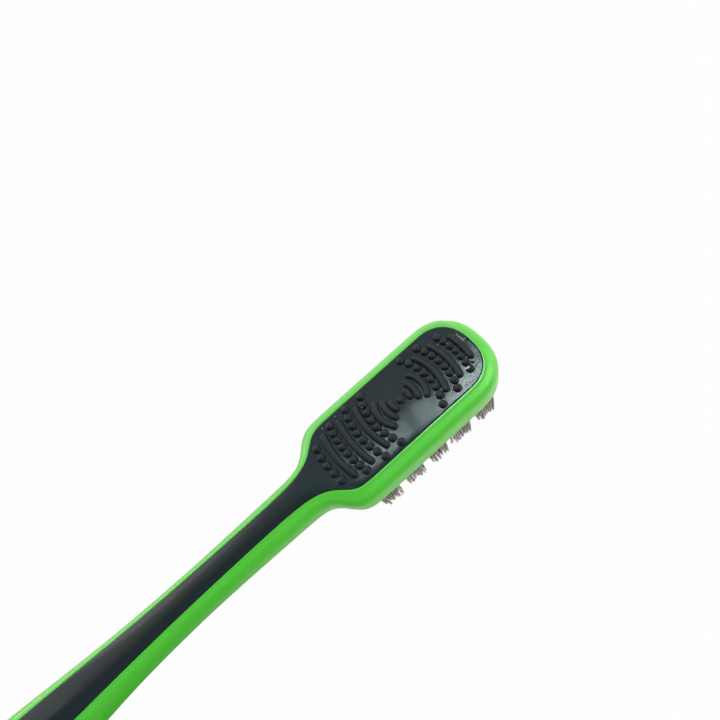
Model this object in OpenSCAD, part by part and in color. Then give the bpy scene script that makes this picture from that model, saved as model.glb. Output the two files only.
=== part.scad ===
// Manual toothbrush, lying on its bristle tips and tail with the back upwards.
// A hard green moulding carries a soft black back, whose pad is a tongue cleaner.
// +X points to the tip of the head, +Z up, and the origin is below the middle.

/* [Overall] */
// Length from the tip of the head to the tail
length = 190; // [170:1:210]
// Free length of the bristles below the head
bristle_len = 10; // [8:0.5:12]

/* [Head] */
// Length of the head, from its tip to the middle of its shoulders
head_len = 29.2; // [27:0.1:33]
// Width of the head at the parting line
head_w = 14; // [13.6:0.1:16]
// Thickness of the head
head_t = 6.35; // [5.4:0.05:7]
// Depth of the rounded upper edge, down to the parting line
head_edge = 2.2; // [1.8:0.1:2.6]
// Radius of the lower edge
head_foot_r = 1; // [0.6:0.1:1.4]
// Length over which the shoulders run into the neck
shoulder_len = 3.6; // [3.2:0.1:6]
// Exponent of the head's rounded outline, where 2 is an ellipse
outline_power = 2.4; // [2:0.1:3]

/* [Neck and handle] */
// Width of the neck at its narrowest
neck_w = 5.3; // [5:0.1:7]
// Distance from the pad's centre to the neck's narrowest place
waist_at = 40; // [36:1:44]
// Extra width of the neck where it meets the head
neck_flare = 0.85; // [0:0.05:1.2]
// Thickness of the neck
neck_t = 6; // [5.6:0.1:7]
// Depth of the neck's rounded upper edge
neck_edge = 2.8; // [2.4:0.1:3.2]
// Radius of the neck's lower edge
neck_foot_r = 1.8; // [1.2:0.1:2]
// Width of the handle at its widest
grip_w = 12.4; // [11:0.1:14]
// Thickness of the handle at its widest
grip_t = 10.4; // [9:0.1:12]
// Depth of the handle's rounded upper edge
grip_edge = 4.6; // [4:0.1:5]
// Radius of the handle's lower edge
grip_foot_r = 3.6; // [3:0.1:4]
// Distance from the pad's centre to where the neck has half become the handle
swell_at = 63; // [55:1:70]
// Length over which the neck swells into the handle
swell_len = 33; // [26:1:40]
// Width of the tail before its rounded end
tail_w = 10.6; // [9:0.1:12]
// Thickness of the tail before its rounded end
tail_t = 9.4; // [8:0.1:10.4]
// Length of the rounded end of the tail
tail_round = 7; // [5:0.5:10]
// Length of the tail's flat underside, which rests on the table
tail_flat = 14; // [10:1:20]
// Length of the straight back behind the pad's centre, before it bends down
straight_back = 52; // [45:1:60]

/* [Soft back] */
// Distance from the tip of the head to the centre of the pad
pad_from_tip = 14.4; // [14:0.1:16]
// Length of the pad from its centre to its front end
pad_front = 12.5; // [11.8:0.1:12.8]
// Length of the pad from its centre to the middle of its shoulders
pad_back = 13.1; // [12.6:0.1:13.8]
// Width of the pad
pad_w = 10.5; // [9.8:0.1:10.8]
// Length over which the pad's shoulders run into the strip
pad_shoulder_len = 2.6; // [2.2:0.1:3.4]
// Width of the strip along the neck
strip_w = 2.8; // [2.4:0.1:3.3]
// Width of the strip along the handle
strip_grip_w = 6.2; // [5:0.1:7]
// Distance from the pad's centre to where the strip is half way to its full width
strip_swell_at = 55; // [50:1:62]
// Distance from the end of the strip to the tail
strip_end = 26; // [20:1:40]
// Thickness of the soft layer
soft_t = 1.2; // [1:0.05:1.4]
// Flat hard land around the soft layer
land = 0.15; // [0.1:0.05:0.3]
// Height of the strip's crown above its edges
crown = 0.25; // [0:0.05:0.4]

/* [Tongue cleaner] */
// Diameter of a bump where it leaves the pad
bump_d = 1.15; // [0.9:0.05:1.2]
// Height of a bump
bump_h = 0.45; // [0.3:0.05:0.6]
// Width of a ridge where it leaves the pad
ridge_w = 0.9; // [0.7:0.05:1]
// Height of a ridge
ridge_h = 0.42; // [0.3:0.02:0.5]

/* [Tufts] */
// Diameter of a tuft where it leaves the head
tuft_d = 1.5; // [1.3:0.05:1.6]
// Diameter of a tuft at its tips
tip_d = 1.95; // [1.6:0.05:2]
// Clearance round a tuft in its hole
tuft_clear = 0.04; // [0.02:0.01:0.08]
// Depth of a tuft hole
hole_depth = 3.2; // [2.8:0.1:3.4]
// Pitch of the rows across the head
row_pitch = 2.45; // [2.3:0.05:2.5]
// Pitch of the tufts along the inner rows
tuft_pitch = 2.4; // [2.2:0.05:2.5]
// Pitch of the pairs of tufts along the outer rows
pair_pitch = 4.8; // [4.4:0.1:5]
// Distance between the two tufts of a pair
pair_gap = 2.1; // [2:0.05:2.3]

/* [Anchors] */
// Length of an anchor plate across its hole
anchor_w = 2; // [1.8:0.05:2.1]
// Thickness of an anchor plate
anchor_t = 0.25; // [0.2:0.01:0.3]
// Height of an anchor plate
anchor_h = 1.3; // [1:0.1:1.5]
// Thickness of the fold of the bristles over the anchor
fold_t = 0.4; // [0.3:0.05:0.6]

/* [Hidden] */
$fn = 24;
// How far a cutting form reaches past what it cuts
overrun = 1;
// Heights above the table
back_z = head_t + bristle_len;
tail_top_z = tail_t;
// Places along X, measured from the middle of the whole brush
tip_x = length / 2;
tail_x = -length / 2;
pad_x = tip_x - pad_from_tip;
shoulder_x = tip_x - head_len;
pad_tip_x = pad_x + pad_front;
pad_shoulder_x = pad_x - pad_back;
swell_x = pad_x - swell_at;
strip_swell_x = pad_x - strip_swell_at;
waist_x = pad_x - waist_at;
bend_x = pad_x - straight_back;
tail_flat_x = tail_x + tail_round + tail_flat;
strip_end_x = tail_x + strip_end;
// Sections of the head's shoulders in front of and behind their middle, and
// points of the pad's shoulders likewise
sections_in_front = 5;
sections_behind = 7;
points_in_front = 6;
points_behind = 14;
shoulder_step = 0.27 * shoulder_len;
pad_shoulder_step = 0.257 * pad_shoulder_len;
// The pad is flat up to the strip, which is crowned from a little further back
crown_x = shoulder_x - sections_behind * shoulder_step;
strip_x = crown_x + shoulder_step / 2;
// The head's outline is straight between its rounded tip and its shoulders
tip_round = 7;
pad_tip_round = 5;
strip_end_round = 6;
// The side of the head leans in by this much from the parting line down
side_lean = 0.12;
// The pad's shoulders are tight beside the pad and drawn out along the strip
pad_shoulder_skew = 0.3;
pad_shoulder_shift = 0.2063 * pad_shoulder_len;
// The trimmed tips of a tuft are rounded off over this height and depth
trim_h = 0.5;
trim_r = 0.2;
// A ridge ends in balls a little wider than its bar
end_ball = 1.03;

// Rows of the tongue cleaner, from the centre outwards: distance from the
// centre to the row, radius of its arc, and then half its width for a ridge, or
// the number of bumps and their pitch. They are drawn for a pad 10.5 wide, which
// reaches 12.5 in front of its centre and 13.1 behind, and follow its real size
across_scale = pad_w / 10.5;
front_scale = pad_front / 12.5;
back_scale = pad_back / 13.1;
tip_ridges = [[1.3, 2.6, 0.45], [2.3, 3.2, 1.2], [3.7, 3.2, 1.9], [6, 8, 3.1], [8.5, 10, 2.9], [11.1, 12, 1.9]];
neck_ridges = [[1.3, 2.6, 0.45], [2.4, 2.8, 1.3], [3.7, 3.5, 2.1], [5.9, 11, 3.3], [8.7, 14, 3.5], [11.5, 13, 3.4]];
tip_bumps = [[4.85, 8.4, 8, 1.3], [7.45, 9.3, 8, 1.2], [10.05, 11, 7, 1.1]];
neck_bumps = [[4.75, 9.5, 8, 1.28], [7.3, 11.7, 8, 1.27], [10, 16, 8, 1.17], [13.1, 13.7, 5, 1.42]];

// Places of the tufts: outer rows in pairs, inner rows evenly, all about the
// pad's centre
outer_tufts = [for (side = [-1, 1], i = [-2:2], j = [-0.5, 0.5])
    [pad_x + i * pair_pitch + j * pair_gap, side * 2 * row_pitch]];
inner_tufts = [for (side = [-1, 1], i = [-4:4]) [pad_x + i * tuft_pitch, side * row_pitch]];
middle_tufts = [for (i = [-4.5:4.5]) [pad_x + i * tuft_pitch, 0]];
tufts = concat(outer_tufts, inner_tufts, middle_tufts);
tuft_names = [for (i = [0:len(tufts) - 1]) str("tuft_", i + 1)];

hard_green = [0.30, 0.78, 0.22];
soft_black = [0.14, 0.16, 0.17];
bristle_grey = [0.44, 0.42, 0.40];
anchor_metal = [0.80, 0.78, 0.70];

// Smooth change from 0 to 1 as x passes a place, over a length
function blend(x, at, over) = 1 / (1 + exp(-4 * (x - at) / over));
function clip(t) = min(1, max(0, t));
function ease(t) = clip(t) * clip(t) * (3 - 2 * clip(t));
function mix(a, b, t) = a + (b - a) * t;
// Rounded end of an outline, where t runs from 0 at its start to 1 at the tip
function round_off(t, power) = pow(1 - pow(clip(t), power), 1 / power);

// Head, neck and handle share one law along the brush
function along(x, head, neck, grip) =
    mix(mix(grip, neck, blend(x, swell_x, swell_len)), head, blend(x, shoulder_x, shoulder_len));
function taper(x) = ease((swell_x - swell_len - x) / (swell_x - swell_len - tail_flat_x));
function round_tip(x) = round_off((x - tip_x + tip_round) / tip_round, outline_power);
function round_tail(x) = round_off((tail_x + tail_round - x) / tail_round, outline_power);

// Half width of the hard body at its parting line
function neck_width(x) = neck_w + neck_flare * ease((x - waist_x) / (shoulder_x - waist_x));
function body_half(x) =
    along(x, head_w, neck_width(x), mix(grip_w, tail_w, taper(x))) / 2 * round_tip(x) * round_tail(x);
function thickness(x) = along(x, head_t, neck_t, mix(grip_t, tail_t, taper(x)));
function edge_depth(x) = along(x, head_edge, neck_edge, grip_edge);
function foot_radius(x) = along(x, head_foot_r, neck_foot_r, grip_foot_r);
function crown_height(x) = crown * ease((crown_x - x) / (crown_x - bend_x)) * round_tail(x);
// Height of the back before its ends are rounded
function back(x) = mix(back_z, tail_top_z, ease((bend_x - x) / (bend_x - tail_flat_x)));

// Half width of the soft layer, from the pad's tip along the strip to its end
function pad_step(x) =
    pow(1 + exp(-4 * (x - pad_shoulder_x - pad_shoulder_shift) / pad_shoulder_len), -pad_shoulder_skew);
function strip_half(x) = mix(strip_grip_w, strip_w, blend(x, strip_swell_x, swell_len)) / 2;
function soft_sides(x) = mix(strip_half(x), pad_w / 2, pad_step(x));
function soft_half(x) = soft_sides(x)
    * round_off((x - pad_tip_x + pad_tip_round) / pad_tip_round, outline_power)
    * round_off((strip_end_x + strip_end_round - x) / strip_end_round, outline_power);

// Half width of the flat top, which is the soft layer and the land round it
function top_half(x) = max(0.12 * body_half(x), (soft_sides(x) + land) * round_tail(x)
    * round_off((x - pad_tip_x - land + pad_tip_round) / pad_tip_round, outline_power));

// The rounded upper and lower edges run round the tip and the tail too
function tip_run(x) = clip((x - pad_tip_x - land) / (tip_x - pad_tip_x - land));
function tail_run(x) = clip((tail_x + tail_round - x) / tail_round);
function rounding(t) = 1 - sqrt(1 - t * t);
function top_z(x) = back(x) - edge_depth(x) * (rounding(tip_run(x)) + rounding(tail_run(x)));
function parting_z(x) = back(x) - edge_depth(x);
function foot_run(x) = clip((x - tip_x + foot_radius(x)) / foot_radius(x));
function foot_z(x) = back(x) - thickness(x)
    + foot_radius(x) * (rounding(foot_run(x)) + rounding(tail_run(x)));

// One half of the cross-section at x, from the middle of the back, over the
// upper edge, down the drafted side and round the lower edge
function half_section(x) =
    let (top = top_half(x), wide = body_half(x), c = crown_height(x), z0 = top_z(x), z1 = parting_z(x),
        z2 = foot_z(x), lean = side_lean * wide / head_w * 2, r = min(foot_radius(x), 0.8 * wide, 0.8 * (z1 - z2)))
    concat(
        [[0, z0], [top / 2, z0 - c / 4]],
        [for (a = [0:18:90]) [mix(top, wide, sin(a)), mix(z1, z0 - c, cos(a))]],
        [for (a = [0:30:90]) [wide - lean - r * (1 - cos(a)), z2 + r * (1 - sin(a))]],
        [[0, z2]]);
function section(x) =
    let (half = half_section(x), n = len(half))
    concat(
        [for (p = half) [x, p[0], p[1]]],
        [for (i = [n - 2:-1:1]) [x, -half[i][0], half[i][1]]]);

// Places of the sections, close together where the outline turns
tip_stations = [for (a = [86, 79, 71, 62, 52, 41, 28, 14])
    tip_x - tip_round * (1 - pow(sin(a), 2 / outline_power))];
shoulder_stations = [for (i = [-sections_in_front:sections_behind]) shoulder_x - i * shoulder_step];
neck_stations = [for (i = [1:6]) mix(crown_x, bend_x, i / 6.5)];
grip_stations = [for (i = [0.5:14]) mix(bend_x, tail_flat_x, i / 14), tail_flat_x];
tail_stations = [for (a = [0, 22, 38, 52, 64, 74, 82, 87]) tail_x + tail_round * (1 - sin(a))];
stations = concat(tip_stations, [tip_x - tip_round, pad_x], shoulder_stations, neck_stations,
    grip_stations, tail_stations);

// Solid through a run of sections with equal numbers of points. Its two flat
// ends are fanned from the widest point, which is on none of their straight edges
module loft(places) {
    widest = 7;
    rings = [for (x = places) section(x)];
    n = len(rings[0]);
    last = len(rings) - 1;
    skin = [for (i = [0:last - 1], j = [0:n - 1])
        let (a = i * n + j, b = i * n + (j + 1) % n, c = a + n, d = b + n)
        each [[a, d, b], [a, c, d]]];
    tip_cap = [[for (j = [0:n - 1]) (j + widest) % n]];
    tail_cap = [[for (j = [n - 1:-1:0]) last * n + (j + widest) % n]];
    polyhedron([for (ring = rings) each ring], concat(skin, tip_cap, tail_cap), convexity = 6);
}

// Outer form of the hard body and the soft layer together
module brush_form() {
    loft(stations);
}

// Outline of the soft layer from above, from the pad's tip to the strip's end
function soft_outline() =
    let (front = [for (a = [84:-12:12]) pad_tip_x - pad_tip_round * (1 - pow(sin(a), 2 / outline_power))],
        shoulders = [for (i = [-points_in_front:points_behind]) pad_shoulder_x - i * pad_shoulder_step],
        strip = [for (i = [1:12])
            mix(pad_shoulder_x - points_behind * pad_shoulder_step, strip_end_x + strip_end_round, i / 12)],
        end = [for (a = [18:18:72]) strip_end_x + strip_end_round * (1 - pow(sin(a), 2 / outline_power))],
        places = concat(front, [pad_tip_x - pad_tip_round], shoulders, strip, end))
    concat(
        [[pad_tip_x, 0]], [for (x = places) [x, soft_half(x)]],
        [[strip_end_x, 0]], [for (i = [len(places) - 1:-1:0]) [places[i], -soft_half(places[i])]]);

// Slab across the brush between two places, from the floor of the soft layer up
// to a given height
module above_floor(from_x, to_x, steps, height) {
    rotate([90, 0, 0])
        linear_extrude(2 * pad_w, center = true)
            polygon(concat(
                [for (i = [0:steps]) let (x = mix(from_x, to_x, i / steps)) [x, back(x) - soft_t]],
                [[to_x, height], [from_x, height]]));
}

// Room of the soft layer, open at the top
module soft_room() {
    sky = back_z + overrun;
    intersection() {
        linear_extrude(sky + overrun) polygon(soft_outline());
        union() {
            above_floor(tip_x, bend_x, 1, sky);
            above_floor(bend_x, strip_end_x - overrun, 14, sky);
        }
    }
}

// Radius of the ball or round bar that shows a cap of a given width and height
function cap_radius(width, height) = (width * width / 4 + height * height) / (2 * height);

// Domed bump that stands on the pad
module bump() {
    r = cap_radius(bump_d, bump_h);
    translate([0, 0, back_z + bump_h - r]) sphere(r);
}

// Row of bumps along an arc about the pad's centre, on one side of it
module bump_row(row, side) {
    apex = row[0] * (side > 0 ? front_scale : back_scale);
    radius = row[1] * across_scale;
    pitch = row[3] * across_scale;
    for (i = [0:row[2] - 1]) {
        turn = (i - (row[2] - 1) / 2) * pitch / radius * 180 / PI;
        translate([pad_x + side * (apex - radius), 0, 0])
            rotate([0, 0, turn]) translate([side * radius, 0, 0]) bump();
    }
}

// Rounded ridge along an arc about the pad's centre, with ball ends
module ridge(row, side) {
    apex = row[0] * (side > 0 ? front_scale : back_scale);
    radius = row[1] * across_scale;
    reach = asin(row[2] / row[1]);
    r = cap_radius(ridge_w, ridge_h);
    translate([pad_x + side * (apex - radius), 0, back_z + ridge_h - r])
        rotate([0, 0, side > 0 ? 0 : 180]) {
            rotate([0, 0, -reach])
                rotate_extrude(angle = 2 * reach) translate([radius, 0]) circle(r);
            for (turn = [-reach, reach])
                rotate([0, 0, turn]) translate([radius, 0, 0]) sphere(r * end_ball);
        }
}

module tongue_cleaner() {
    translate([pad_x, 0, 0]) bump();
    for (row = tip_ridges) ridge(row, 1);
    for (row = neck_ridges) ridge(row, -1);
    for (row = tip_bumps) bump_row(row, 1);
    for (row = neck_bumps) bump_row(row, -1);
}

// Anchor plate at the bottom of one tuft hole, wider than the hole so that its
// ends bite into the head
module anchor(place) {
    translate([place[0] - anchor_t / 2, place[1] - anchor_w / 2, bristle_len + hole_depth - fold_t - anchor_h])
        cube([anchor_t, anchor_w, anchor_h]);
}

// Hard green moulding with the room of the soft layer, the tuft holes and the
// seats of the anchors
module handle() {
    color(hard_green)
        difference() {
            brush_form();
            soft_room();
            for (place = tufts) {
                translate([place[0], place[1], bristle_len - overrun])
                    cylinder(h = hole_depth + overrun, r = tuft_d / 2 + tuft_clear);
                anchor(place);
            }
        }
}

// Soft black layer over the back, moulded onto the hard body, with the tongue
// cleaner on its pad
module soft_back() {
    color(soft_black) {
        intersection() {
            linear_extrude(back_z) polygon(soft_outline());
            above_floor(tip_x, strip_x, 1, back_z);
        }
        intersection() {
            brush_form();
            soft_room();
            translate([strip_end_x - overrun, -pad_w, 0])
                cube([strip_x - strip_end_x + overrun, 2 * pad_w, back_z + overrun]);
        }
        tongue_cleaner();
    }
}

module tuft_anchors() {
    color(anchor_metal) for (place = tufts) anchor(place);
}

// Bundle of bristles, folded over its anchor and flared towards the tips
module tuft(place) {
    color(bristle_grey)
        translate([place[0], place[1], 0])
            difference() {
                union() {
                    cylinder(h = trim_h, r1 = tip_d / 2 - trim_r, r2 = tip_d / 2);
                    translate([0, 0, trim_h])
                        cylinder(h = bristle_len - trim_h, r1 = tip_d / 2, r2 = tuft_d / 2);
                    translate([0, 0, bristle_len]) cylinder(h = hole_depth, r = tuft_d / 2);
                }
                translate([-place[0], -place[1], 0]) anchor(place);
            }
}

handle();
soft_back();
tuft_anchors();
for (i = [0:len(tufts) - 1]) tuft(tufts[i]);
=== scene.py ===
import math
import random

import bpy
from mathutils import Matrix, Vector


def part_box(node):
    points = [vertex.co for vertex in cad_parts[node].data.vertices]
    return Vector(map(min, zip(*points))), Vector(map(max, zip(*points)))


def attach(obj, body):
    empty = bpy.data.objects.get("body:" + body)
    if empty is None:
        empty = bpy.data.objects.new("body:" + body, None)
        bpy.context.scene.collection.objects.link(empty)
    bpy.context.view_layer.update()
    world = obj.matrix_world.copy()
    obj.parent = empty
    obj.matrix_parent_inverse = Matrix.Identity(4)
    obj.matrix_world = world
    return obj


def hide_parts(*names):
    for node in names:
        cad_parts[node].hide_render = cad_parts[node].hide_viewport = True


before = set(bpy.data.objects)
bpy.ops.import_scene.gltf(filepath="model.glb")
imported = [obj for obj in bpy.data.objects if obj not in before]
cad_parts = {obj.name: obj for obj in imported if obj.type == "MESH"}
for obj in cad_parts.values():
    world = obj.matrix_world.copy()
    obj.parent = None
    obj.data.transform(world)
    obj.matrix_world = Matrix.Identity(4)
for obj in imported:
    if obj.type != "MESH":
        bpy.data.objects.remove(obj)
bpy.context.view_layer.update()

MM = 0.001

# Camera. It looks down on the back of the head from the near side, a hand's
# breadth away, as a telephone does. Its place is given from the pad's centre.
pad_centre = Vector((80.6, 0, 16.35)) * MM
camera_place = pad_centre + Vector((-5.95, -26.1, 67.79)) * MM
camera_right = Vector((0.7463, -0.6159, -0.2525)).normalized()
camera_up = Vector((0.6615, 0.6435, 0.3851))
camera_back = camera_right.cross(camera_up).normalized()
camera_up = camera_back.cross(camera_right)
turn = Matrix((camera_right, camera_up, camera_back)).transposed()
view_width, lens_in_pixels = 720, 541
lens_data = bpy.data.cameras.new("camera")
lens_data.sensor_width = 36
lens_data.lens = lens_data.sensor_width * lens_in_pixels / view_width
lens_data.clip_start, lens_data.clip_end = 2 * MM, 20
camera = bpy.data.objects.new("camera", lens_data)
camera.matrix_world = Matrix.Translation(camera_place) @ turn.to_4x4()
bpy.context.scene.collection.objects.link(camera)
bpy.context.scene.camera = camera
bpy.context.scene.view_settings.view_transform = "Standard"


# Floor. A sheet of white card, far larger than the brush. The camera sees it as
# plain white, though a share of it takes the shadow. The brush's reflections see
# a painted glow instead: warmer, painted light beyond the brush and its tip, and painted shade beside
# them.
def node(tree, kind, *values, **settings):
    """Adds a node, sets its options, and gives its inputs, in order, a value or a link."""
    made = tree.nodes.new(kind)
    for name, setting in settings.items():
        setattr(made, name, setting)
    for socket, value in zip(made.inputs, values):
        if isinstance(value, bpy.types.NodeSocket):
            tree.links.new(value, socket)
        elif value is not None:
            socket.default_value = value
    return made


def maths(tree, operation, *values):
    return node(tree, "ShaderNodeMath", *values, operation=operation).outputs[0]


def seen_directly(tree, *rays):
    """1 for the kinds of ray that see a plain white background, and 0 for the others."""
    path = tree.nodes.new("ShaderNodeLightPath")
    total = path.outputs[rays[0]]
    for ray in rays[1:]:
        total = maths(tree, "MAXIMUM", total, path.outputs[ray])
    return total


bpy.ops.object.select_all(action="DESELECT")
bpy.ops.mesh.primitive_plane_add(size=6)
floor = bpy.context.object
floor.name = "floor"
card = bpy.data.materials.new("white_card")
card.use_nodes = True
tree = card.node_tree
tree.nodes.clear()
card_glow = 0.96
white, painted_warm_reflection = (1, 1, 1, 1), (1, 0.92, 0.85, 1)
# Each rise has its direction, where it starts and ends, and its low and high level
rises = (((0.34, 0.94, 0), 1, 17, 0.05, 1.0), ((0.75, 0.66, 0), 56, 92, 0, 1.0))
matt = node(tree, "ShaderNodeBsdfDiffuse", (0.9, 0.9, 0.9, 1))
place = tree.nodes.new("ShaderNodeTexCoord").outputs["Object"]
painted_floor_glow = 0
for way, start, end, low, high in rises:
    beyond = node(tree, "ShaderNodeVectorMath", place, way, operation="DOT_PRODUCT").outputs[1]
    rise = node(tree, "ShaderNodeMapRange", beyond, start * MM, end * MM, low, high)
    painted_floor_glow = maths(tree, "ADD", painted_floor_glow, rise.outputs[0])
# Reflections see only the painted glow: light painted beyond the brush and its tip, shade painted beside
# it
mirrored = seen_directly(tree, "Is Glossy Ray")
level = node(tree, "ShaderNodeMix", mirrored, None, 1.0, painted_floor_glow)
tone = node(tree, "ShaderNodeMix", mirrored, data_type="RGBA")
tone.inputs[6].default_value, tone.inputs[7].default_value = white, painted_warm_reflection
glow = node(tree, "ShaderNodeEmission", tone.outputs[2], level.outputs[0])
plain = maths(tree, "MULTIPLY", card_glow, seen_directly(tree, "Is Camera Ray", "Is Transmission Ray"))
share = maths(tree, "MAXIMUM", plain, mirrored)
both = node(tree, "ShaderNodeMixShader", share, matt.outputs[0], glow.outputs[0])
node(tree, "ShaderNodeOutputMaterial", both.outputs[0])
floor.data.materials.append(card)

# Room and lamps. The room is dim overhead and bright low down. A panel, spots and
# a ceiling high beyond the head, and windows low on the far side, show only in
# reflections. A fill from the near side lights the brush without showing in them.
room = bpy.data.worlds.new("room")
bpy.context.scene.world = room
room.use_nodes = True
tree = room.node_tree
tree.nodes.clear()
overhead_level, near_level, far_level = 0.42, 0.9, 1.2
low_from, low_to = 0.15, 0.6
direction = tree.nodes.new("ShaderNodeTexCoord").outputs["Generated"]
parts = node(tree, "ShaderNodeSeparateXYZ", direction).outputs
low = node(tree, "ShaderNodeMapRange", parts[2], low_from, low_to, near_level, overhead_level,
           interpolation_type="SMOOTHSTEP")
far_low = node(tree, "ShaderNodeMapRange", parts[2], low_from, low_to, far_level, overhead_level,
               interpolation_type="SMOOTHSTEP")
far = node(tree, "ShaderNodeMapRange", parts[1], -0.2, 0.8, 0, 1)
level = node(tree, "ShaderNodeMix", far.outputs[0], None, low.outputs[0], far_low.outputs[0])
walls = node(tree, "ShaderNodeBackground", (0.84, 0.97, 1, 1), level.outputs[0])
plain = node(tree, "ShaderNodeBackground", white, 1)
share = seen_directly(tree, "Is Camera Ray", "Is Transmission Ray")
both = node(tree, "ShaderNodeMixShader", share, walls.outputs[0], plain.outputs[0])
node(tree, "ShaderNodeOutputWorld", both.outputs[0])


def lamp(name, place, turned, width, depth, radiance, tint=(1, 1, 1)):
    """Soft light that shows only in reflections, its place and size in millimetres."""
    data = bpy.data.lights.new(name, "AREA")
    data.shape = "RECTANGLE"
    data.size = width * MM
    data.size_y = depth * MM
    data.energy = radiance * math.pi * data.size * data.size_y
    data.color = tint
    made = bpy.data.objects.new(name, data)
    made.location = pad_centre + Vector(place) * MM
    made.visible_diffuse = False
    made.rotation_euler = [math.radians(angle) for angle in turned]
    bpy.context.scene.collection.objects.link(made)
    return made


pale_blue, daylight = (0.80, 0.97, 1), (1, 0.93, 0.87)
panel_height, panel_turn = 500, 21
lamp("panel", (108, 135, panel_height), (0, 0, panel_turn), 112, 42, 31, pale_blue)
# Place across the room, width, depth and radiance of each spot
spots = ((118, 139, 62, 36, 32), (60, 155, 26, 14, 62), (12, 157, 14, 13, 105),
         (-5, 154, 14, 12, 62), (-29, 160, 13, 13, 95))
for i, (x, y, width, depth, radiance) in enumerate(spots):
    lamp(f"spot_{i}", (x, y, panel_height - 5), (0, 0, panel_turn), width, depth, radiance, pale_blue)
lamp("ceiling", (40, 270, 510), (0, 0, 0), 460, 200, 1.2, pale_blue)
window_distance, window_foot = 600, -5
# Direction in degrees, radiance, width and height of each window
windows = ((-42, 5, 740, 900), (28, 2.2, 640, 900), (96, 3.4, 900, 900), (138, 2.2, 460, 1080))
for i, (toward, radiance, width, tall) in enumerate(windows):
    angle = math.radians(toward)
    place = (window_distance * math.cos(angle), window_distance * math.sin(angle), tall / 2 + window_foot)
    lamp(f"window_{i}", place, (-90, 0, toward - 90), width, tall, radiance, daylight)
fill = lamp("fill", (130, -135, 350), (-28, 0, -136), 300, 300, 3.1)
fill.visible_diffuse, fill.visible_glossy = True, False

# Hard body. One moulding of polypropylene in bright green makes the head, the
# neck and the handle. A shallow room in its back takes the soft layer, and 48
# blind holes under the head take the tufts.
tip_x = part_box("handle")[1].x / MM
tail_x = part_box("handle")[0].x / MM
head_length = 29.2
head_width, neck_width, grip_width, tail_width = 14, 5.3, 12.4, 10.6
head_depth, neck_depth, grip_depth, tail_depth = 6.35, 6, 10.4, 9.4
head_edge, neck_edge, grip_edge = 2.2, 2.8, 4.6
head_foot, neck_foot, grip_foot = 1, 1.8, 3.6
bristle_length = 10
back_height = head_depth + bristle_length
tip_round, tail_round = 7, 7
outline_power = 2.4
pad_x = tip_x - 14.4
shoulder_x, shoulder_length = tip_x - head_length, 3.6
swell_x, swell_length = pad_x - 63, 33
waist_x, neck_flare = pad_x - 40, 0.85
bend_x = pad_x - 52
tail_flat_x = tail_x + tail_round + 14
crown, crown_x = 0.25, shoulder_x - 1.89 * shoulder_length
pad_tip_x, pad_tip_round, pad_half = pad_x + 12.5, 5, 5.25
pad_shoulder_x, pad_shoulder_length, pad_shoulder_skew = pad_x - 13.1, 2.6, 0.3
strip_neck_half, strip_grip_half, strip_swell_x = 1.4, 3.1, pad_x - 55
strip_end_x, strip_end_round = tail_x + 26, 6
pad_shoulder_shift = 0.2063 * pad_shoulder_length
soft_depth = 1.2
land, least_land_share, side_lean = 0.15, 0.12, 0.12
seam_gap, rim_flare = 0.01, 0.06
row_spacing, tuft_pitch, pair_half = 2.45, 2.4, 1.05
tuft_rows = {
    "outer": [(side * 2 * row_spacing, i * 2 * tuft_pitch + j * pair_half)
              for side in (-1, 1) for i in range(-2, 3) for j in (-1, 1)],
    "inner": [(side * row_spacing, i * tuft_pitch) for side in (-1, 1) for i in range(-4, 5)],
    "middle": [(0, (i - 4.5) * tuft_pitch) for i in range(10)],
}
paired_tufts = len(tuft_rows["outer"])
tuft_places = [(pad_x + forward, across) for row in tuft_rows.values() for across, forward in row]
hole_radius = 0.79
hole_top = bristle_length + 3.2


def clip(t):
    return min(1, max(0, t))


def ease(t):
    return clip(t) ** 2 * (3 - 2 * clip(t))


def mix(a, b, t):
    return a + (b - a) * t


def blend(x, at, over):
    return 1 / (1 + math.exp(min(60, max(-60, -4 * (x - at) / over))))


def rounded(t):
    """Falls from 1 to 0 as a rounded end is passed, for t from 0 to 1."""
    return (1 - clip(t) ** outline_power) ** (1 / outline_power)


def drop(t):
    """Depth of a quarter round, as a share, for t from 0 at its top to 1."""
    return 1 - math.sqrt(1 - clip(t) ** 2)


def along(x, head, neck, grip):
    handle = mix(grip, neck, blend(x, swell_x, swell_length))
    return mix(handle, head, blend(x, shoulder_x, shoulder_length))


def taper(x):
    start = swell_x - swell_length
    return ease((start - x) / (start - tail_flat_x))


def back(x):
    return mix(back_height, tail_depth, ease((bend_x - x) / (bend_x - tail_flat_x)))


def tail_fall(x):
    return (tail_x + tail_round - x) / tail_round


def crown_at(x):
    return crown * ease((crown_x - x) / (crown_x - bend_x)) * rounded(tail_fall(x))


def body_half(x):
    neck = neck_width + neck_flare * ease((x - waist_x) / (shoulder_x - waist_x))
    width = along(x, head_width, neck, mix(grip_width, tail_width, taper(x)))
    return width / 2 * rounded((x - tip_x + tip_round) / tip_round) * rounded(tail_fall(x))


def soft_sides(x):
    step = blend(x, pad_shoulder_x + pad_shoulder_shift, pad_shoulder_length) ** pad_shoulder_skew
    strip = mix(strip_grip_half, strip_neck_half, blend(x, strip_swell_x, swell_length))
    return mix(strip, pad_half, step)


def soft_half(x):
    front = rounded((x - pad_tip_x + pad_tip_round) / pad_tip_round)
    return soft_sides(x) * front * rounded((strip_end_x + strip_end_round - x) / strip_end_round)


def top_half(x):
    front = rounded((x - pad_tip_x - land + pad_tip_round) / pad_tip_round)
    return max(least_land_share * body_half(x), (soft_sides(x) + land) * front * rounded(tail_fall(x)))


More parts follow.
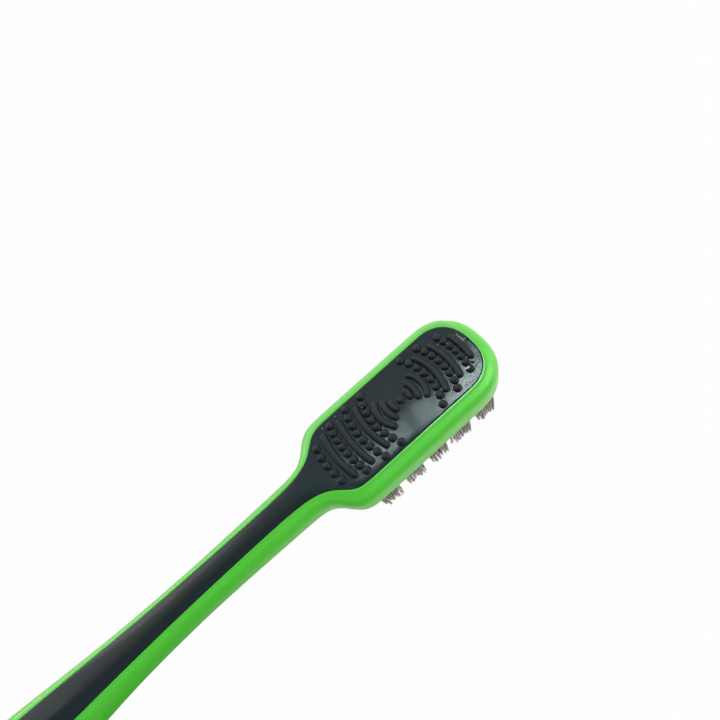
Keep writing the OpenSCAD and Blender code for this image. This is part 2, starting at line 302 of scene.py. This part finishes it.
def body_section(x):
    """Points round the body at x, in millimetres, from the middle of the back and round again."""
    top, wide, camber = top_half(x), body_half(x), crown_at(x)
    edge = along(x, head_edge, neck_edge, grip_edge)
    foot = along(x, head_foot, neck_foot, grip_foot)
    thick = along(x, head_depth, neck_depth, mix(grip_depth, tail_depth, taper(x)))
    upper_fall = drop((x - pad_tip_x - land) / (tip_x - pad_tip_x - land)) + drop(tail_fall(x))
    lower_rise = drop((x - tip_x + foot) / foot) + drop(tail_fall(x))
    upper = back(x) - edge * upper_fall
    parting = back(x) - edge
    lower = back(x) - thick + foot * lower_rise
    radius = min(foot, 0.8 * wide, 0.8 * (parting - lower))
    side = wide * (1 - 2 * side_lean / head_width)
    half = [(top * t, upper - camber * t * t) for t in (0, 0.3, 0.6, 0.85)]
    for step in range(17):
        angle = math.radians(90 * step / 16)
        half.append((mix(top, wide, math.sin(angle)), mix(parting, upper - camber, math.cos(angle))))
    for step in range(1, 4):
        half.append((mix(wide, side, step / 4), mix(parting, lower + radius, step / 4)))
    for step in range(9):
        angle = math.radians(90 * step / 8)
        half.append((side - radius * (1 - math.cos(angle)), lower + radius * (1 - math.sin(angle))))
    half += [((side - radius) * t, lower) for t in (0.66, 0.33, 0)]
    return [(x, y, z) for y, z in half] + [(x, -y, z) for y, z in half[-2:0:-1]]


def spread(start, end, pitch):
    """Places from start up to end, about a pitch apart, without the end."""
    count = max(1, round(abs(end - start) / pitch))
    return [mix(start, end, i / count) for i in range(count)]


def rounded_places(end, depth, count):
    """Places that crowd towards the end of a rounded outline, from its start."""
    angles = [math.radians(89.7 * i / count) for i in range(1, count + 1)]
    return [end - depth * (1 - math.sin(a) ** (2 / outline_power)) for a in angles]


def use(piece):
    """Makes one object the only selected and the active one."""
    bpy.ops.object.select_all(action="DESELECT")
    piece.select_set(True)
    bpy.context.view_layer.objects.active = piece


def edit(selected):
    bpy.ops.object.mode_set(mode="EDIT")
    bpy.ops.mesh.select_mode(type="VERT")
    bpy.ops.mesh.select_all(action="SELECT" if selected else "DESELECT")


def finish_edit():
    """Leaves edit mode with no doubled points and all faces outwards."""
    bpy.ops.mesh.select_all(action="SELECT")
    bpy.ops.mesh.remove_doubles(threshold=0.0005 * MM)
    bpy.ops.mesh.normals_make_consistent(inside=False)
    bpy.ops.object.mode_set(mode="OBJECT")


def loft(name, places, section):
    """Rolls a flat grid into a closed tube through the sections at the places."""
    rings = [section(x) for x in places]
    rows, columns = len(rings), len(rings[0])
    bpy.ops.object.select_all(action="DESELECT")
    bpy.ops.mesh.primitive_grid_add(x_subdivisions=rows - 1, y_subdivisions=columns, size=2)
    tube = bpy.context.object
    tube.name = name
    for v in tube.data.vertices:
        ring = round((v.co.x + 1) / 2 * (rows - 1))
        point = round((v.co.y + 1) / 2 * columns) % columns
        v.co = Vector(rings[ring][point]) * MM
    edit(True)
    bpy.ops.mesh.remove_doubles(threshold=0.0005 * MM)
    bpy.ops.mesh.select_all(action="DESELECT")
    bpy.ops.mesh.select_non_manifold(extend=False)
    bpy.ops.mesh.edge_face_add()
    finish_edit()
    return tube


def cut_or_join(piece, other, operation):
    """Cuts the other object from the piece, or joins it to the piece, and removes it."""
    use(piece)
    bpy.ops.object.modifier_add(type="BOOLEAN")
    modifier = piece.modifiers[-1]
    modifier.operation = operation
    modifier.object = other
    modifier.solver = "EXACT"
    modifier.use_self = operation == "UNION"
    bpy.ops.object.modifier_apply(modifier=modifier.name)
    bpy.data.objects.remove(other)


def outline_plate(name, points, low, high):
    """Plate with a given outline from above, between two heights."""
    bpy.ops.object.select_all(action="DESELECT")
    bpy.ops.mesh.primitive_circle_add(vertices=len(points), fill_type="NGON")
    plate = bpy.context.object
    plate.name = name
    for v, (x, y) in zip(plate.data.vertices, points):
        v.co = Vector((x, y, high)) * MM
    edit(True)
    bpy.ops.mesh.extrude_region_move(TRANSFORM_OT_translate={"value": (0, 0, (low - high) * MM)})
    finish_edit()
    return plate


def cross_cuts(places, normal):
    """Cuts the whole edited mesh across at the places along the normal."""
    for place in places:
        bpy.ops.mesh.select_all(action="SELECT")
        bpy.ops.mesh.bisect(plane_co=Vector(normal) * place * MM, plane_no=normal)


def grown(points, gap):
    """Moves each point of an outline outwards by a gap."""
    moved = []
    for i, (x, y) in enumerate(points):
        before, after = points[i - 1], points[(i + 1) % len(points)]
        step = Vector((after[0] - before[0], after[1] - before[1])).normalized()
        moved.append((x + gap * step.y, y - gap * step.x))
    return moved


soft_places = rounded_places(pad_tip_x, pad_tip_round, 16)[::-1]
soft_places += spread(pad_tip_x - pad_tip_round, pad_shoulder_x + 5, 1.5)
soft_places += spread(pad_shoulder_x + 5, pad_shoulder_x - 12, 0.4)
soft_places += spread(pad_shoulder_x - 12, strip_end_x + strip_end_round, 2)
soft_places += [strip_end_x + pad_tip_x - x for x in rounded_places(pad_tip_x, strip_end_round, 10)]
soft_side = [(x, soft_half(x)) for x in soft_places]
soft_outline = soft_side + [(x, -y) for x, y in soft_side[::-1]]
bend_places = spread(strip_end_x + 1, crown_x, 2.5)


def follow_back(piece, lowest):
    """Bends a straight piece down with the handle, and crowns what lies above a height."""
    for v in piece.data.vertices:
        x, y, z = v.co / MM
        camber = crown_at(x) * min(1, abs(y) / top_half(x)) ** 2 if z > lowest else 0
        v.co.z += (back(x) - back_height - camber) * MM


def tool_for_room():
    """Solid of the room in the hard body's back, flared at the top for the rounded rim."""
    wall = grown(soft_outline, seam_gap)
    flare = grown(soft_outline, seam_gap + 2 * rim_flare)
    floor_height = back_height - soft_depth - seam_gap
    tool = outline_plate("room_tool", wall, floor_height, back_height - rim_flare)
    edit(False)
    bpy.ops.mesh.select_mode(type="FACE")
    bpy.ops.object.mode_set(mode="OBJECT")
    for face in tool.data.polygons:
        face.select = face.normal.z > 0.9
    bpy.ops.object.mode_set(mode="EDIT")
    bpy.ops.mesh.extrude_region_move(TRANSFORM_OT_translate={"value": (0, 0, 2 * rim_flare * MM)})
    bpy.ops.object.mode_set(mode="OBJECT")
    for v in tool.data.vertices:
        if v.co.z > back_height * MM:
            nearest = min(range(len(wall)), key=lambda i: math.dist(wall[i], v.co.xy / MM))
            v.co.xy = Vector(flare[nearest]) * MM
    bpy.ops.object.mode_set(mode="EDIT")
    bpy.ops.mesh.extrude_region_move(TRANSFORM_OT_translate={"value": (0, 0, 1 * MM)})
    cross_cuts(bend_places, (1, 0, 0))
    finish_edit()
    follow_back(tool, back_height - soft_depth)
    return tool


def tool_for_holes():
    """All the tuft holes in one object: one drill, copied to each place."""
    depth = hole_top - bristle_length + 1
    bpy.ops.object.select_all(action="DESELECT")
    middle = Vector((0, 0, hole_top - depth / 2)) * MM
    bpy.ops.mesh.primitive_cylinder_add(
        vertices=24, radius=hole_radius * MM, depth=depth * MM, location=middle)
    bpy.ops.object.transform_apply(location=True, rotation=False, scale=False)
    drill = bpy.context.object
    drills = []
    for x, y in tuft_places:
        copy = drill.copy()
        copy.data = drill.data.copy()
        copy.data.transform(Matrix.Translation(Vector((x, y, 0)) * MM))
        bpy.context.scene.collection.objects.link(copy)
        drills.append(copy)
    bpy.data.objects.remove(drill)
    return join(drills)


def join(pieces):
    use(pieces[0])
    for piece in pieces:
        piece.select_set(True)
    bpy.ops.object.join()
    return pieces[0]


def smooth(piece, degrees):
    use(piece)
    bpy.ops.object.shade_smooth_by_angle(angle=math.radians(degrees))


body_places = [tail_x + tip_x - x for x in rounded_places(tip_x, tail_round, 16)][::-1]
body_places += spread(tail_x + tail_round, bend_x, 2.6)
body_places += spread(bend_x, shoulder_x - 7, 1.8)
body_places += spread(shoulder_x - 7, shoulder_x + 6, 0.4)
body_places += spread(shoulder_x + 6, tip_x - tip_round, 1.1)
body_places += rounded_places(tip_x, tip_round, 22)
green_body = loft("green_body", body_places, body_section)
cut_or_join(green_body, tool_for_room(), "DIFFERENCE")
cut_or_join(green_body, tool_for_holes(), "DIFFERENCE")
smooth(green_body, 28)


def new_material(name, **sockets):
    """Principled material with fixed values, and the place on the object in metres."""
    made = bpy.data.materials.new(name)
    made.use_nodes = True
    shader = made.node_tree.nodes["Principled BSDF"]
    for socket, value in sockets.items():
        shader.inputs[socket.replace("_", " ")].default_value = value
    place = made.node_tree.nodes.new("ShaderNodeTexCoord").outputs["Object"]
    return made, made.node_tree, shader, place


def noise(tree, place, scale, detail=2.0):
    return node(tree, "ShaderNodeTexNoise", place, None, scale, detail).outputs[0]


def between(tree, value, low, high, start=0.3, end=0.7):
    return node(tree, "ShaderNodeMapRange", value, start, end, low, high).outputs[0]


def mix_colours(tree, factor, first, second):
    made = node(tree, "ShaderNodeMix", factor, data_type="RGBA")
    for socket, value in ((made.inputs[6], first), (made.inputs[7], second)):
        if isinstance(value, bpy.types.NodeSocket):
            tree.links.new(value, socket)
        else:
            socket.default_value = (*value, 1)
    return made.outputs[2]


def bump(tree, height, depth, under=None):
    """Bump of a real depth in millimetres, over another bump if one is given."""
    made = node(tree, "ShaderNodeBump")
    made.inputs["Strength"].default_value = 1
    made.inputs["Distance"].default_value = depth * MM
    tree.links.new(height, made.inputs["Height"])
    if under:
        tree.links.new(under, made.inputs["Normal"])
    return made.outputs[0]


green, tree, shader, place = new_material("bright_green_plastic", IOR=1.49)
deep_green, light_green = (0.070, 0.54, 0.020), (0.078, 0.57, 0.024)
land_finish = 0.25
clouds = noise(tree, place, 180)
tree.links.new(mix_colours(tree, clouds, deep_green, light_green), shader.inputs["Base Color"])
height = node(tree, "ShaderNodeSeparateXYZ", place).outputs[2]
land_share = between(tree, height, 0, 1, (back_height - 0.15) * MM, (back_height - 0.03) * MM)
side_finish = between(tree, noise(tree, place, 900, 4), 0.33, 0.42)
finish = node(tree, "ShaderNodeMix", land_share, None, side_finish, land_finish)
tree.links.new(finish.outputs[0], shader.inputs["Roughness"])
tree.links.new(bump(tree, noise(tree, place, 700, 1), 0.0003), shader.inputs["Normal"])
green_body.data.materials.append(green)
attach(green_body, "root")
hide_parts("handle")

# Soft back. A second shot of black thermoplastic rubber fills the room: a crowned
# strip up the handle and neck widens into a pad, whose bumps and ridges, on arcs
# about its centre, clean the tongue. It shows a little flash, dust and some scuffs;
# a glint by one bump is a painted highlight, and the bumps, ridges and nicks carry painted shade.
bump_foot, bump_height = 0.59, 0.45
ridge_foot, ridge_height = 0.49, 0.42
# Rows from the pad's centre outwards: distance of the row, radius of its arc, and
# half the width of a ridge, or the number of bumps and their pitch
tip_ridges = [(1.3, 2.6, 0.45), (2.3, 3.2, 1.2), (3.7, 3.2, 1.9),
              (6, 8, 3.1), (8.5, 10, 2.9), (11.1, 12, 1.9)]
neck_ridges = [(1.3, 2.6, 0.45), (2.4, 2.8, 1.3), (3.7, 3.5, 2.1),
               (5.9, 11, 3.3), (8.7, 14, 3.5), (11.5, 13, 3.4)]
tip_bumps = [(4.85, 8.4, 8, 1.3), (7.45, 9.3, 8, 1.2), (10.05, 11, 7, 1.1)]
neck_bumps = [(4.75, 9.5, 8, 1.28), (7.3, 11.7, 8, 1.27), (10, 16, 8, 1.17), (13.1, 13.7, 5, 1.42)]

rim_radius = 0.04
edge_roll, edge_roll_width = 0.02, 0.8
strip_arch, strip_arch_start = 0.09, 6
inset_steps = (0.15, 0.25, 0.3, 0.35)
strip_cuts = (-2, -1.3, -0.65, 0, 0.65, 1.3, 2)
# Place from the pad's centre, foot and height of each nub
nubs = ((10.43, -2.84, 0.2, 0.2), (12.33, 0.1, 0.13, 0.4))

black_back = outline_plate("black_back", soft_outline, back_height - soft_depth, back_height)
edit(False)
bpy.ops.mesh.select_mode(type="EDGE")
bpy.ops.object.mode_set(mode="OBJECT")
for edge in black_back.data.edges:
    edge.select = all(black_back.data.vertices[i].co.z > (back_height - 0.1) * MM for i in edge.vertices)
bpy.ops.object.mode_set(mode="EDIT")
bpy.ops.mesh.bevel(offset=rim_radius * MM, segments=3, affect="EDGES")
bpy.ops.mesh.select_mode(type="FACE")
bpy.ops.mesh.select_all(action="DESELECT")
bpy.ops.object.mode_set(mode="OBJECT")
for face in black_back.data.polygons:
    face.select = face.normal.z > 0.99
bpy.ops.object.mode_set(mode="EDIT")
for thickness in inset_steps:
    bpy.ops.mesh.inset(thickness=thickness * MM)
cross_cuts(bend_places, (1, 0, 0))
for across in strip_cuts:
    bpy.ops.mesh.select_all(action="DESELECT")
    bpy.ops.object.mode_set(mode="OBJECT")
    for face in black_back.data.polygons:
        face.select = face.center.x < crown_x * MM
    bpy.ops.object.mode_set(mode="EDIT")
    bpy.ops.mesh.bisect(plane_co=(0, across * MM, 0), plane_no=(0, 1, 0))
finish_edit()
follow_back(black_back, back_height - soft_depth + 0.1)
for v in black_back.data.vertices:
    x, y, z = v.co / MM
    inside = min(soft_half(x) - abs(y), pad_tip_x - x)
    if x > pad_shoulder_x + 1 and z > back_height - 0.2:
        near_edge = (1 - clip(inside / edge_roll_width)) ** 2
        v.co.z -= edge_roll * ease((pad_x + 8 - x) / 4) * near_edge * MM
    elif z > back(x) - 0.5:
        arch = 1 - clip(abs(y) / soft_half(x)) ** 2
        v.co.z += strip_arch * ease((pad_shoulder_x - x) / strip_arch_start) * arch * MM


def raised(foot, height, half_length):
    """Round-topped bump with its foot flared into the pad, drawn out along Y into a ridge."""
    flare, rise = 0.06, 0.1
    profile = [(foot + flare, -0.05), (foot + flare / 3, rise / 3), (foot, rise)]
    for degrees in (20, 38, 54, 68, 80):
        angle = math.radians(degrees)
        profile.append((foot * math.cos(angle) ** 0.85, mix(rise, height, math.sin(angle) ** 0.9)))
    bpy.ops.object.select_all(action="DESELECT")
    bpy.ops.mesh.primitive_circle_add(
        vertices=20, radius=profile[0][0] * MM, location=(0, 0, profile[0][1] * MM))
    bpy.ops.object.transform_apply(location=True, rotation=False, scale=False)
    made = bpy.context.object
    edit(True)
    for (r0, h0), (r1, h1) in zip(profile, profile[1:]):
        bpy.ops.mesh.extrude_region_move(TRANSFORM_OT_translate={"value": (0, 0, (h1 - h0) * MM)})
        bpy.ops.transform.resize(value=(r1 / r0, r1 / r0, 1))
    bpy.ops.mesh.edge_face_add()
    bpy.ops.mesh.poke()
    if half_length:
        draw_out(made, half_length)
    bpy.ops.mesh.select_mode(type="VERT")
    bpy.ops.mesh.select_all(action="DESELECT")
    bpy.ops.mesh.select_non_manifold(extend=False)
    bpy.ops.mesh.edge_face_add()
    finish_edit()
    return made


def draw_out(piece, half_length):
    """Splits the bump across, pulls its halves apart and bridges them."""
    bpy.ops.mesh.select_all(action="SELECT")
    bpy.ops.mesh.bisect(plane_co=(0, 0, 0), plane_no=(0, 1, 0))
    for side in (1, -1):
        bpy.ops.mesh.select_mode(type="FACE")
        bpy.ops.mesh.select_all(action="DESELECT")
        bpy.ops.object.mode_set(mode="OBJECT")
        for face in piece.data.polygons:
            face.select = face.center.y * side > 0
        bpy.ops.object.mode_set(mode="EDIT")
        if side > 0:
            bpy.ops.mesh.split()
        bpy.ops.transform.translate(value=(0, side * half_length * MM, 0))
    bpy.ops.mesh.select_mode(type="EDGE")
    bpy.ops.mesh.select_all(action="DESELECT")
    bpy.ops.object.mode_set(mode="OBJECT")
    for edge in piece.data.edges:
        ends = [piece.data.vertices[i].co for i in edge.vertices]
        edge.select = all(abs(abs(end.y) - half_length * MM) < 0.002 * MM for end in ends)
    bpy.ops.object.mode_set(mode="EDIT")
    bpy.ops.mesh.bridge_edge_loops(number_cuts=max(3, round(half_length * 6)), interpolation="LINEAR")


def placed(piece, where):
    """Copies a raised piece with its own mesh, each point put where the law says."""
    copy = piece.copy()
    copy.data = piece.data.copy()
    bpy.context.scene.collection.objects.link(copy)
    for v in copy.data.vertices:
        x, y = where(v.co.x / MM, v.co.y / MM)
        v.co = Vector((x, y, v.co.z / MM + back_height)) * MM
    return copy


def on_arc(apex, radius, side, turn):
    """Law that bends a piece along an arc about the pad's centre line."""
    def where(across, along_arc):
        angle = turn + along_arc / radius
        reach = side * (apex - radius) + side * (radius + across) * math.cos(angle)
        return pad_x + reach, (radius + across) * math.sin(angle)
    return where


raised_pieces = []
one_bump = raised(bump_foot, bump_height, 0)
raised_pieces.append(placed(one_bump, lambda x, y: (pad_x + x, y)))
for side, rows in ((1, tip_bumps), (-1, neck_bumps)):
    for apex, radius, count, pitch in rows:
        for i in range(count):
            turn = (i - (count - 1) / 2) * pitch / radius
            raised_pieces.append(placed(one_bump, on_arc(apex, radius, side, turn)))
for side, rows in ((1, tip_ridges), (-1, neck_ridges)):
    for apex, radius, half in rows:
        one_ridge = raised(ridge_foot, ridge_height, radius * math.asin(half / radius))
        raised_pieces.append(placed(one_ridge, on_arc(apex, radius, side, 0)))
        bpy.data.objects.remove(one_ridge)
bpy.data.objects.remove(one_bump)
for x, y, foot, height in nubs:
    nub = raised(foot, height, 0)
    raised_pieces.append(placed(nub, lambda u, v: (pad_x + x + u, y + v)))
    bpy.data.objects.remove(nub)
cleaner = join(raised_pieces)
edit(True)
finish_edit()
cut_or_join(black_back, cleaner, "UNION")
smooth(black_back, 32)


def stroke(tree, place, start, end, width):
    """1 along a line drawn on the back, in millimetres from the pad's centre, and 0 beside it."""
    first = Vector((pad_x + start[0], start[1], 0)) * MM
    line = Vector((end[0] - start[0] + 0.01, end[1] - start[1], 0)) * MM
    flat = node(tree, "ShaderNodeVectorMath", place, (1, 1, 0), operation="MULTIPLY").outputs[0]
    offset = node(tree, "ShaderNodeVectorMath", flat, first, operation="SUBTRACT").outputs[0]
    per_length = line / line.length_squared
    share = node(tree, "ShaderNodeVectorMath", offset, per_length, operation="DOT_PRODUCT").outputs[1]
    share = node(tree, "ShaderNodeClamp", share).outputs[0]
    nearest = node(tree, "ShaderNodeVectorMath", share, line, operation="MULTIPLY").outputs[0]
    distance = node(tree, "ShaderNodeVectorMath", offset, nearest, operation="DISTANCE").outputs[1]
    return between(tree, distance, 1, 0, 0.25 * width * MM, 0.75 * width * MM)


def strokes(tree, place, lines, width):
    """1 along any of the lines, each given by its points."""
    total = 0
    for line in lines:
        for start, end in zip(line, line[1:]):
            total = maths(tree, "MAXIMUM", total, stroke(tree, place, start, end, width))
    return total


# Marks on the pad as lines between points, from the pad's centre
scratches = [((11.85, 1.82), (11.75, 1.44), (11.85, 0.85), (11.87, 0.44)), ((11.72, 0.45), (12.11, 0.47))]
scratches += [((7.46, -2.97), (7.47, -2.96)), ((-44.51, 1.02), (-44.47, 1.02))]
# Painted glint: a white highlight curved round one bump, not a mark on the rubber
glints = [((9.08, -2.72), (9.14, -2.92), (9.3, -3.04), (9.5, -3.06))]
dust = [(9.78, 3.8), (8.94, 2.44), (9.89, 1.5), (11.47, 1.82),
        (-10.45, 4.59), (-8.11, 4.68), (-6.89, 3.79), (-4.56, 2.85)]
nicks = [((10.43, -3.32), (10.4, -3.55), (10.3, -3.76)), ((3.3, -4.8), (3.3, -5.22))]
scratch_width, glint_width, speck_width, nick_width = 0.11, 0.2, 0.16, 0.13
scratch_strength, speck_strength = 0.3, 0.35
raised_finish = 0.38

black, tree, shader, place = new_material("black_soft_rubber", IOR=1.48, Specular_IOR_Level=0.15)
deep_black, dusty_black = (0.0115, 0.020, 0.022), (0.017, 0.027, 0.029)
raised_shaded_black, nick_shade_black, scuff_and_glint_white = (0.0035, 0.0075, 0.0088), (0.002, 0.003, 0.003), (0.75, 0.78, 0.8)
height = node(tree, "ShaderNodeSeparateXYZ", place).outputs[2]
raised_share = between(tree, height, 0, 1, (back_height + 0.02) * MM, (back_height + 0.12) * MM)
flat_tone = mix_colours(tree, noise(tree, place, 400, 4), deep_black, dusty_black)
# Bumps and ridges are the pad's own rubber; their darker colour is painted shade
tone = mix_colours(tree, raised_share, flat_tone, raised_shaded_black)
wear_and_glint = maths(tree, "MULTIPLY", strokes(tree, place, scratches, scratch_width), scratch_strength)
wear_and_glint = maths(tree, "MAXIMUM", wear_and_glint, strokes(tree, place, glints, glint_width))
specks = strokes(tree, place, [(point, point) for point in dust], speck_width)
wear_and_glint = maths(tree, "MAXIMUM", wear_and_glint, maths(tree, "MULTIPLY", specks, speck_strength))
# Scratches and dust are real marks; the glint mixed in here is a painted highlight
tone = mix_colours(tree, wear_and_glint, tone, scuff_and_glint_white)
# The nicks are real marks, and their near-black colour is painted shade in them
nicked = strokes(tree, place, nicks, nick_width)
tree.links.new(mix_colours(tree, nicked, tone, nick_shade_black), shader.inputs["Base Color"])
flat_finish = between(tree, noise(tree, place, 3000, 3), 0.08, 0.15)
rough_share = maths(tree, "MAXIMUM", maths(tree, "MAXIMUM", raised_share, wear_and_glint), nicked)
finish = node(tree, "ShaderNodeMix", rough_share, None, flat_finish, raised_finish)
tree.links.new(finish.outputs[0], shader.inputs["Roughness"])
sink_marks = bump(tree, noise(tree, place, 260, 1), 0.045)
tree.links.new(bump(tree, noise(tree, place, 4500), 0.006, sink_marks), shader.inputs["Normal"])
black_back.data.materials.append(black)
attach(black_back, "root")
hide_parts("soft_back")

# Bristles. Each tuft is grey nylon filaments, folded over an anchor, so that some
# sixty ends come out of one hole together. They spread a little, gather into
# small points and end at slightly different heights. One tuft has stray strands.
filament_radius = 0.085
filaments_in_tuft = 60
clumps_in_tuft = 7
tuft_radius, tip_spread = 0.68, (1.4, 1.1)
pair_lean = 0.28
clump_pull, tip_shortening = 0.75, 0.8
clump_stretch, clump_unevenness, tip_unevenness, wander = 1.3, 0.4, 0.3, 0.1
fold_below_top = 0.05
stray_reach, stray_step, stray_side, stray_tip = 1.3, 0.1, 0.1, 0.8
stray_tuft, stray_count = 6, 3
dark_grey, pale_grey, root_shade_grey = (0.11, 0.1, 0.092), (0.46, 0.42, 0.385), (0.09, 0.085, 0.08)
draw = random.Random(11)

bpy.ops.object.select_all(action="DESELECT")
bpy.ops.mesh.primitive_circle_add(vertices=6, radius=filament_radius * MM, location=(0, 0, 0))
filament = bpy.context.object
edit(True)
for step, width in ((0.24, 1), (0.3, 1), (0.22, 1), (0.16, 0.97), (0.06, 0.8), (0.02, 0.45)):
    bpy.ops.mesh.extrude_region_move(TRANSFORM_OT_translate={"value": (0, 0, step)})
    bpy.ops.transform.resize(value=(width, width, 1))
bpy.ops.mesh.edge_face_add()
bpy.ops.mesh.select_all(action="DESELECT")
bpy.ops.mesh.select_non_manifold(extend=False)
bpy.ops.mesh.edge_face_add()
finish_edit()
filament_points = [v.co.copy() for v in filament.data.vertices]
filament_faces = [list(face.vertices) for face in filament.data.polygons]
bpy.data.objects.remove(filament)


def make_tuft(name, x, y, lean, strays):
    """Tuft of copied filaments whose tips gather into points, lean along X, or stray from it."""
    points, faces = [], []
    top = hole_top - fold_below_top
    clumps = []
    for i in range(clumps_in_tuft):
        angle = math.tau * (i + draw.uniform(-0.25, 0.25)) / clumps_in_tuft
        reach = tuft_radius * draw.uniform(0.5, 0.95)
        gathered = Vector((clump_stretch * reach * math.cos(angle), reach * math.sin(angle), 0))
        clumps.append((gathered, draw.uniform(0, clump_unevenness)))
    for i in range(filaments_in_tuft):
        radius = tuft_radius * math.sqrt((i + 0.5) / filaments_in_tuft)
        angle = i * math.pi * (3 - math.sqrt(5)) + draw.uniform(-0.2, 0.2)
        root = Vector((radius * math.cos(angle), radius * math.sin(angle), 0))
        clump, clump_tip = min(clumps, key=lambda c: (c[0] - root).length)
        stray = Vector((draw.gauss(0, wander), draw.gauss(0, wander), 0))
        chord = math.sqrt(1 - min(0.9, (root.y / tuft_radius) ** 2))
        own_tip = Vector((root.x / chord * tip_spread[0], root.y * tip_spread[1], 0))
        far = own_tip + stray + Vector((lean, 0, 0))
        pull = (clump - own_tip) * clump_pull
        tip = clump_tip + draw.uniform(0, tip_unevenness) + tip_shortening * pull.length / tuft_radius
        if i >= filaments_in_tuft - strays:
            far = Vector((-stray_reach - stray_step * (i % 3), -stray_side, 0))
            pull, tip = Vector(), stray_tip
        first = len(points)
        for p in filament_points:
            z = mix(top, tip, p.z)
            out = clip((bristle_length - z) / bristle_length)
            middle = root.lerp(far, out) + pull * out ** 4
            points.append((Vector((x, y, z)) + middle) * MM + Vector((p.x, p.y, 0)))
        faces += [[first + k for k in face] for face in filament_faces]
    mesh = bpy.data.meshes.new(name)
    mesh.from_pydata(points, [], faces)
    made = bpy.data.objects.new(name, mesh)
    bpy.context.scene.collection.objects.link(made)
    return made


nylon, tree, shader, place = new_material("grey_nylon", Roughness=0.35, IOR=1.53)
heights = node(tree, "ShaderNodeSeparateXYZ", place).outputs[2]
# Painted shade: the filaments darken towards their roots under the head, where they crowd together
root_shade = between(tree, heights, 0, 1, 2 * MM, 10 * MM)
drawn = node(tree, "ShaderNodeVectorMath", place, (1, 1, 0.08), operation="MULTIPLY").outputs[0]
streaks = between(tree, noise(tree, drawn, 6000, 0), 0, 1, 0.35, 0.65)
tone = mix_colours(tree, streaks, dark_grey, pale_grey)
tree.links.new(mix_colours(tree, root_shade, tone, root_shade_grey), shader.inputs["Base Color"])
for i, (x, y) in enumerate(tuft_places):
    lean = (-pair_lean if i % 2 else pair_lean) if i < paired_tufts else 0
    tuft = make_tuft(f"bristles_{i + 1}", x, y, lean, stray_count if i == stray_tuft else 0)
    tuft.data.materials.append(nylon)
    smooth(tuft, 60)
    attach(tuft, "root")
    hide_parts(f"tuft_{i + 1}")

# Anchors. A flat wire of nickel silver is cut into plates, and each is driven
# into a hole with the fold of its tuft. They stay as the frame has them.
nickel, tree, shader, place = new_material("nickel_silver", Metallic=1.0, Base_Color=(0.62, 0.58, 0.46, 1))
tree.links.new(between(tree, noise(tree, place, 3000), 0.25, 0.45), shader.inputs["Roughness"])
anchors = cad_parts["tuft_anchors"]
anchors.data.materials.clear()
anchors.data.materials.append(nickel)
